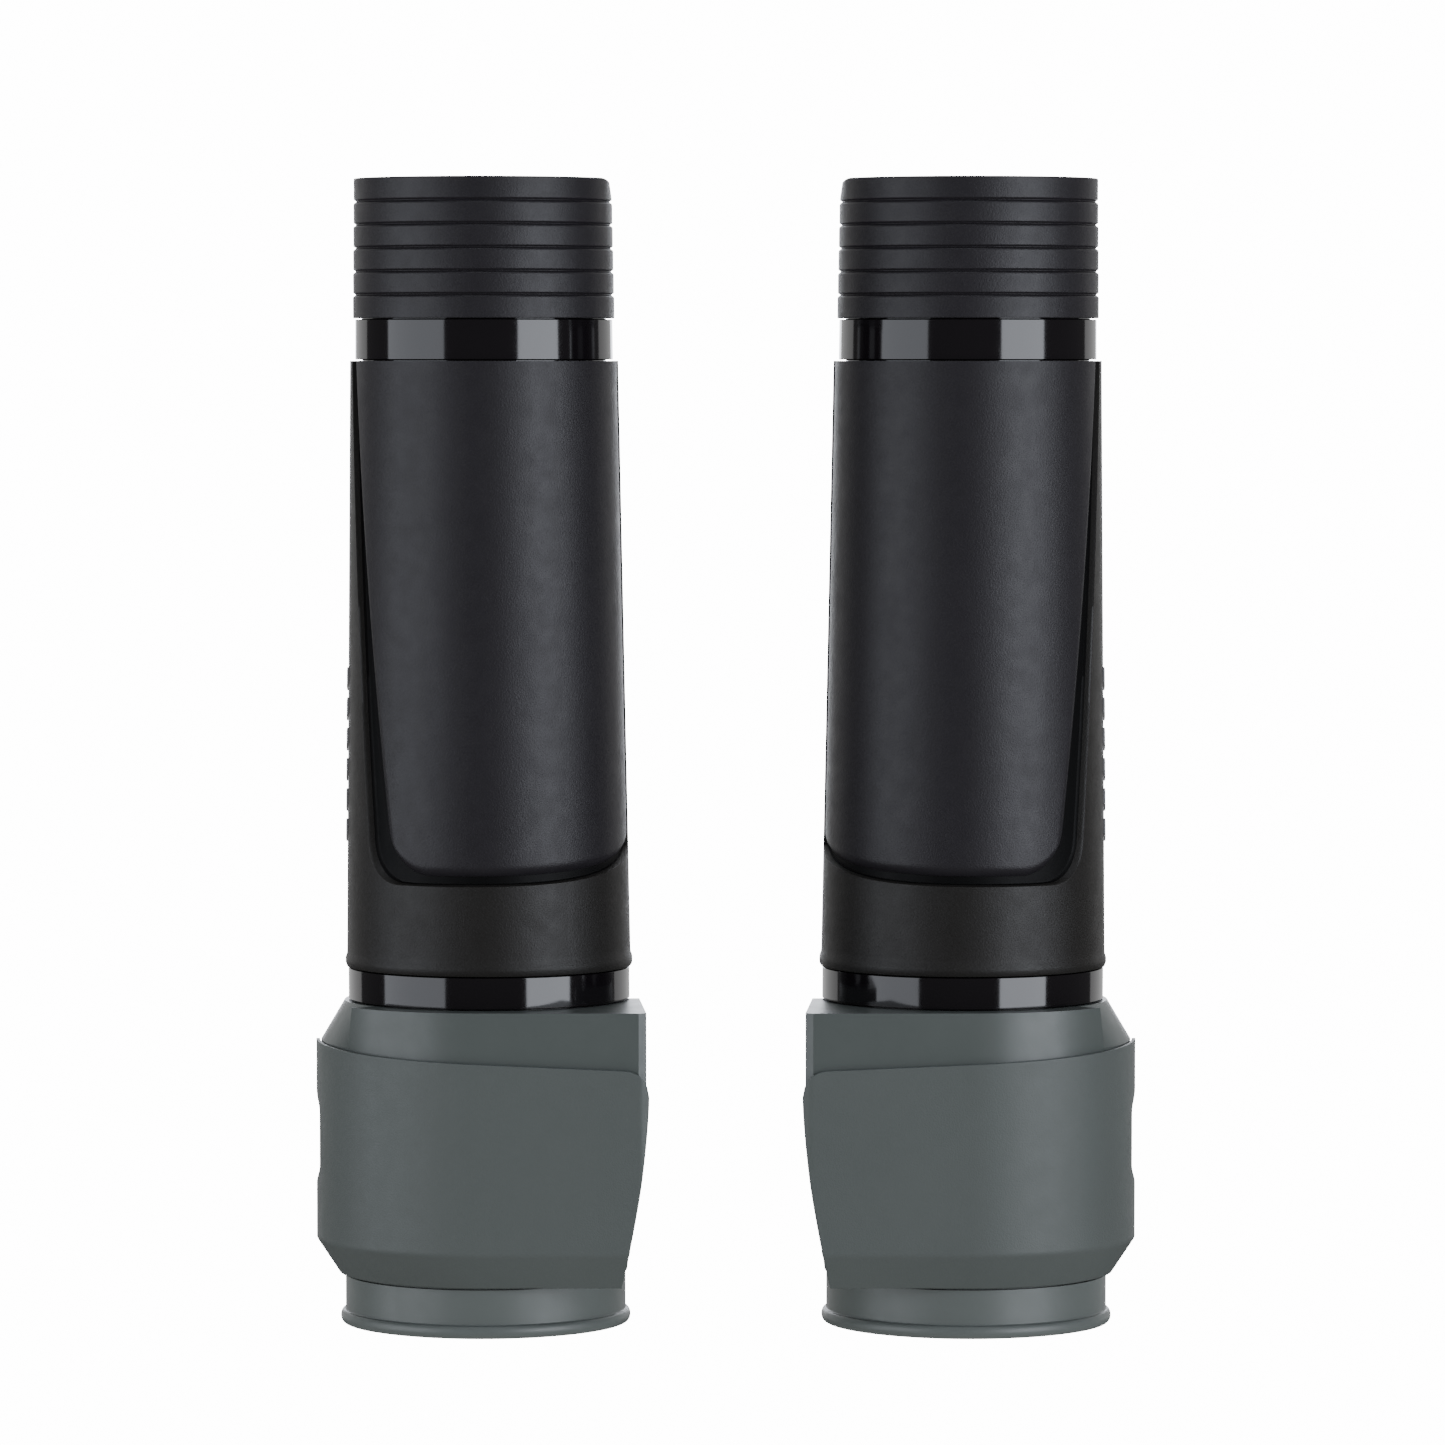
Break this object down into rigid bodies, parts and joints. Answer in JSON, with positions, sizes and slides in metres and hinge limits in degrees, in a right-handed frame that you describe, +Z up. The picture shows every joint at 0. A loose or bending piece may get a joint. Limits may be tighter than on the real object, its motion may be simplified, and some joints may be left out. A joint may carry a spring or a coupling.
{
  "type": "fork tube cover pair",
  "caption": "Mirrored wrap-around covers for the upper fork tubes of an off-road motorcycle, each a layered clamshell with a rear flap on a side hinge.",
  "frame": {"origin": "on the surface the covers stand on, midway between the two, at the middle of the pair's box", "axes": "+Z up along the fork legs, +X from the left cover to the right one, the covers face -Y"},
  "size_m": [0.1938, 0.0744, 0.2702],
  "materials": {
    "gloss_black": "polished moulded plastic",
    "satin_black": "fine grained, slightly blue black",
    "grained_black": "fine grained black",
    "slate_grey": "smooth satin slate grey",
    "grained_grey": "fine grained slate grey",
    "badge_grey": "satin light grey",
    "pin_steel": "drawn wire"
  },
  "bodies": {
    "front_halves": {"left_inner_sleeve_front": "gloss_black", "left_ribbed_collar_front": "satin_black", "left_body_shell_front": "grained_black", "left_front_panel": "satin_black", "left_side_badge": "badge_grey", "left_glide_block_front": "slate_grey", "left_wear_panel": "grained_grey", "left_wiper_collar_front": "slate_grey", "left_hinge_leaf_front": "grained_black", "left_hinge_pin": "pin_steel", "right_inner_sleeve_front": "gloss_black", "right_ribbed_collar_front": "satin_black", "right_body_shell_front": "grained_black", "right_front_panel": "satin_black", "right_side_badge": "badge_grey", "right_glide_block_front": "slate_grey", "right_wear_panel": "grained_grey", "right_wiper_collar_front": "slate_grey", "right_hinge_leaf_front": "grained_black", "right_hinge_pin": "pin_steel"},
    "left_flap": {"left_inner_sleeve_rear": "gloss_black", "left_ribbed_collar_rear": "satin_black", "left_body_shell_rear": "grained_black", "left_guard_rear": "slate_grey", "left_wiper_collar_rear": "slate_grey", "left_hinge_leaf_rear": "grained_black"},
    "right_flap": {"right_inner_sleeve_rear": "gloss_black", "right_ribbed_collar_rear": "satin_black", "right_body_shell_rear": "grained_black", "right_guard_rear": "slate_grey", "right_wiper_collar_rear": "slate_grey", "right_hinge_leaf_rear": "grained_black"}
  },
  "joints": [
    {"name": "left_flap_hinge", "type": "hinge", "parent": "front_halves", "child": "left_flap", "pos_m": [-0.08545, 0.02505, 0], "axis": [0, 0, 1], "range_deg": [0, 110]},
    {"name": "right_flap_hinge", "type": "hinge", "parent": "front_halves", "child": "right_flap", "pos_m": [0.08545, 0.02505, 0], "axis": [0, 0, -1], "range_deg": [0, 110]}
  ]
}
